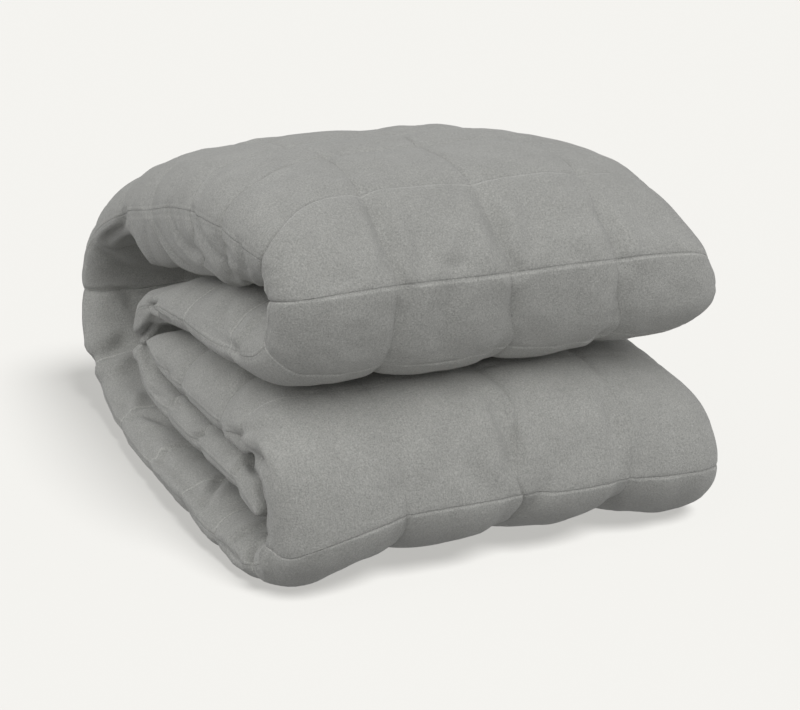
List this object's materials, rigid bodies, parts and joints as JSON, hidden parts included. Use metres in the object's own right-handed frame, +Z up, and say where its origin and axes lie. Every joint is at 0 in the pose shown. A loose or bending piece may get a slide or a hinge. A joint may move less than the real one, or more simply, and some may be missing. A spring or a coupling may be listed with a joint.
{
  "type": "folded weighted blanket",
  "caption": "Quilted weighted blanket in grey brushed cloth, folded into a thick strip and laid back and forth in a tall stack with a rounded back and two rounded front folds.",
  "frame": {"origin": "centre of the footprint's bounding box, on the surface that the blanket rests on", "axes": "+Z up; +Y from the two front folds towards the rounded back; +X along the folds, to the right of someone facing the front"},
  "size_m": [0.4264, 0.5938, 0.3245],
  "materials": {
    "brushed_cloth": "matt, short brushed pile"
  },
  "bodies": {
    "root": {"quilted_blanket": "brushed_cloth"}
  },
  "joints": []
}
